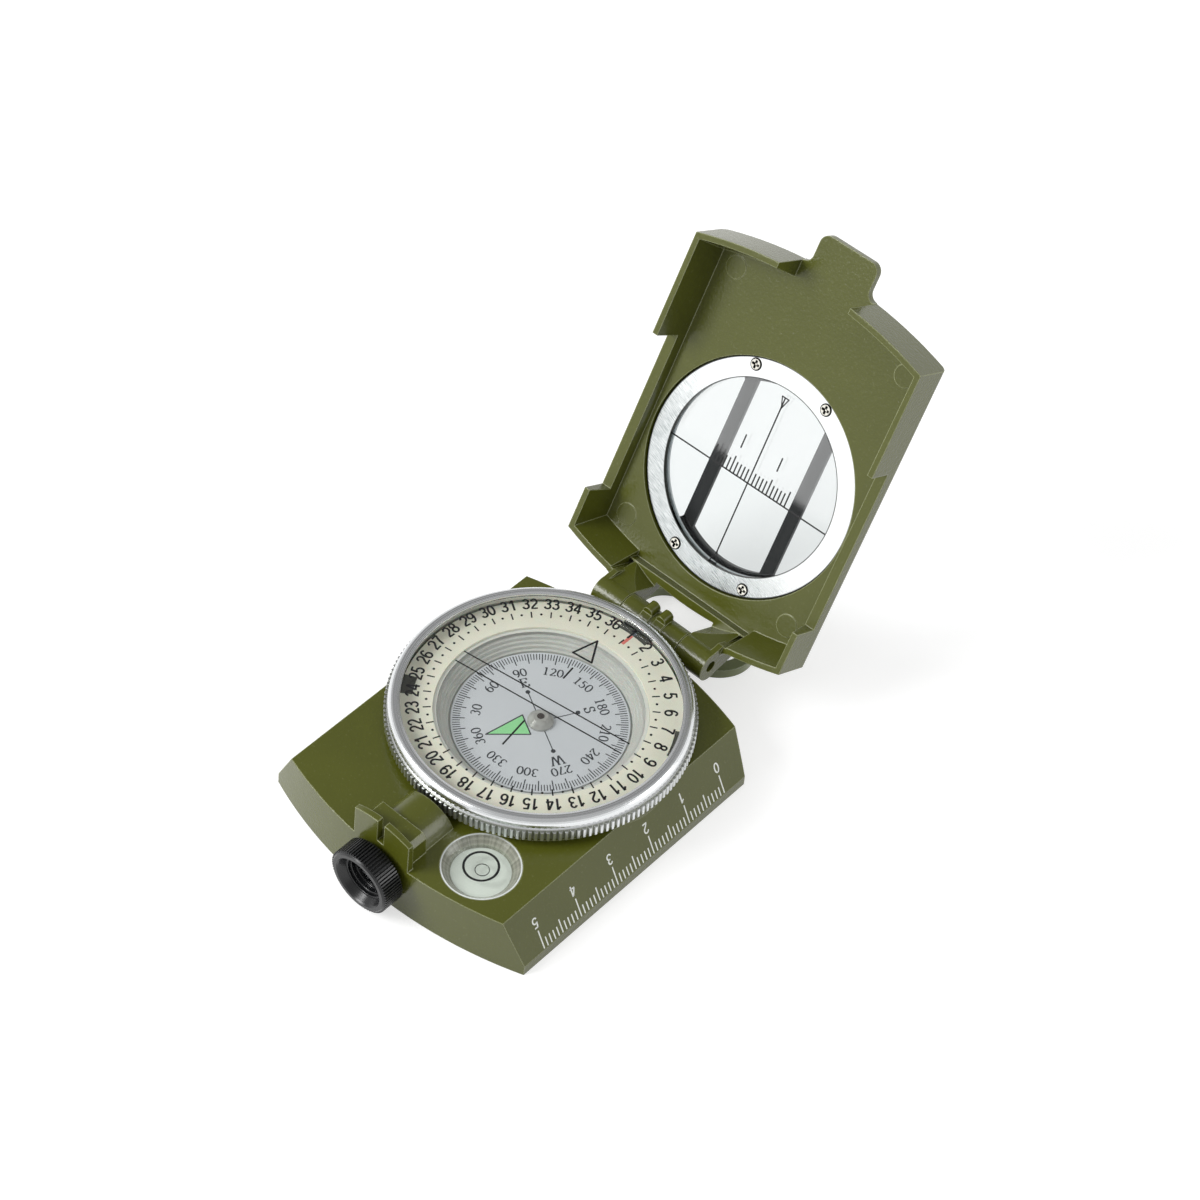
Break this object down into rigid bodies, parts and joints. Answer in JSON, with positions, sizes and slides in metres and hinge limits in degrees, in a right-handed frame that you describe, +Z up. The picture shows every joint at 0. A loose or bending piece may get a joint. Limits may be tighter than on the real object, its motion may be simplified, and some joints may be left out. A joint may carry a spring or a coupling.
{
  "type": "magnetic compass",
  "caption": "Folding sighting compass with a turning bezel over a liquid capsule, ruled case edge, round level, focusing eyepiece, windowed hinged lid and swinging thumb ring.",
  "frame": {"origin": "on the underside of the case, straight under the dial axis", "axes": "+Z up along the dial axis, +Y from the dial towards the lid hinge, +X towards the case edge with the centimetre scale"},
  "size_m": [0.0632, 0.1306, 0.0798],
  "materials": {
    "olive_paint": "semi-gloss olive green paint on die-cast metal",
    "cover_paint": "olive green paint, matt",
    "plain_steel": "plain steel",
    "luminous_plastic": "cream, slightly translucent",
    "dark_pad": "dark grey, matt",
    "grey_plastic": "pale grey moulding",
    "clear_plastic": "clear plastic, polished",
    "white_plastic": "white",
    "polished_metal": "turned and polished, bare metal",
    "card_plastic": "pale blue grey, printed",
    "magnet_iron": "bare magnet",
    "jewel_stone": "polished bearing jewel",
    "black_plastic": "black, satin",
    "optical_glass": "clear polished glass",
    "brushed_ring": "brushed in one direction"
  },
  "bodies": {
    "case": {"base_housing": "olive_paint", "bottom_cover": "cover_paint", "hinge_pin": "plain_steel", "luminous_ring": "luminous_plastic", "ring_pads": "dark_pad", "capsule_bowl": "grey_plastic", "capsule_window": "clear_plastic", "pivot_pin": "plain_steel", "level_vial": "clear_plastic", "level_disc": "white_plastic", "bezel_spring": "plain_steel"},
    "bezel_assembly": {"bezel": "polished_metal", "dial_cover": "clear_plastic"},
    "card_assembly": {"compass_card": "card_plastic", "card_magnet": "magnet_iron", "pivot_cup": "clear_plastic", "pivot_jewel": "jewel_stone"},
    "eyepiece_tube": {"lens_tube": "black_plastic", "eyepiece_lens": "optical_glass"},
    "eyepiece_ring": {"focus_ring": "black_plastic"},
    "lid_assembly": {"lid": "olive_paint", "sight_glass": "optical_glass", "clamp_ring": "brushed_ring", "ring_screws": "plain_steel", "rear_frame": "black_plastic"},
    "thumb_loop": {"thumb_ring": "olive_paint"}
  },
  "joints": [
    {"name": "lid_hinge", "type": "hinge", "parent": "case", "child": "lid_assembly", "pos_m": [0, 0.03255, 0.01245], "axis": [1, 0, 0], "range_deg": [-20, 120]},
    {"name": "bezel_turn", "type": "hinge", "parent": "case", "child": "bezel_assembly", "pos_m": [0, 0, 0.016], "axis": [0, 0, 1], "continuous": true},
    {"name": "card_turn", "type": "hinge", "parent": "case", "child": "card_assembly", "pos_m": [0, 0, 0.0127], "axis": [0, 0, 1], "continuous": true},
    {"name": "eyepiece_travel", "type": "slide", "parent": "case", "child": "eyepiece_tube", "axis": [0, -1, 0], "range_m": [0, 0.001]},
    {"name": "eyepiece_turn", "type": "hinge", "parent": "eyepiece_tube", "child": "eyepiece_ring", "pos_m": [0, -0.046, 0.0082], "axis": [0, -1, 0], "range_deg": [0, 360]},
    {"name": "thumb_ring_swing", "type": "hinge", "parent": "case", "child": "thumb_loop", "pos_m": [0, 0.037, 0.0036], "axis": [1, 0, 0], "range_deg": [-140, 30]}
  ],
  "couplings": [
    {"joint": "eyepiece_turn", "follows": "eyepiece_travel", "rad_per_m": 6283.2}
  ]
}
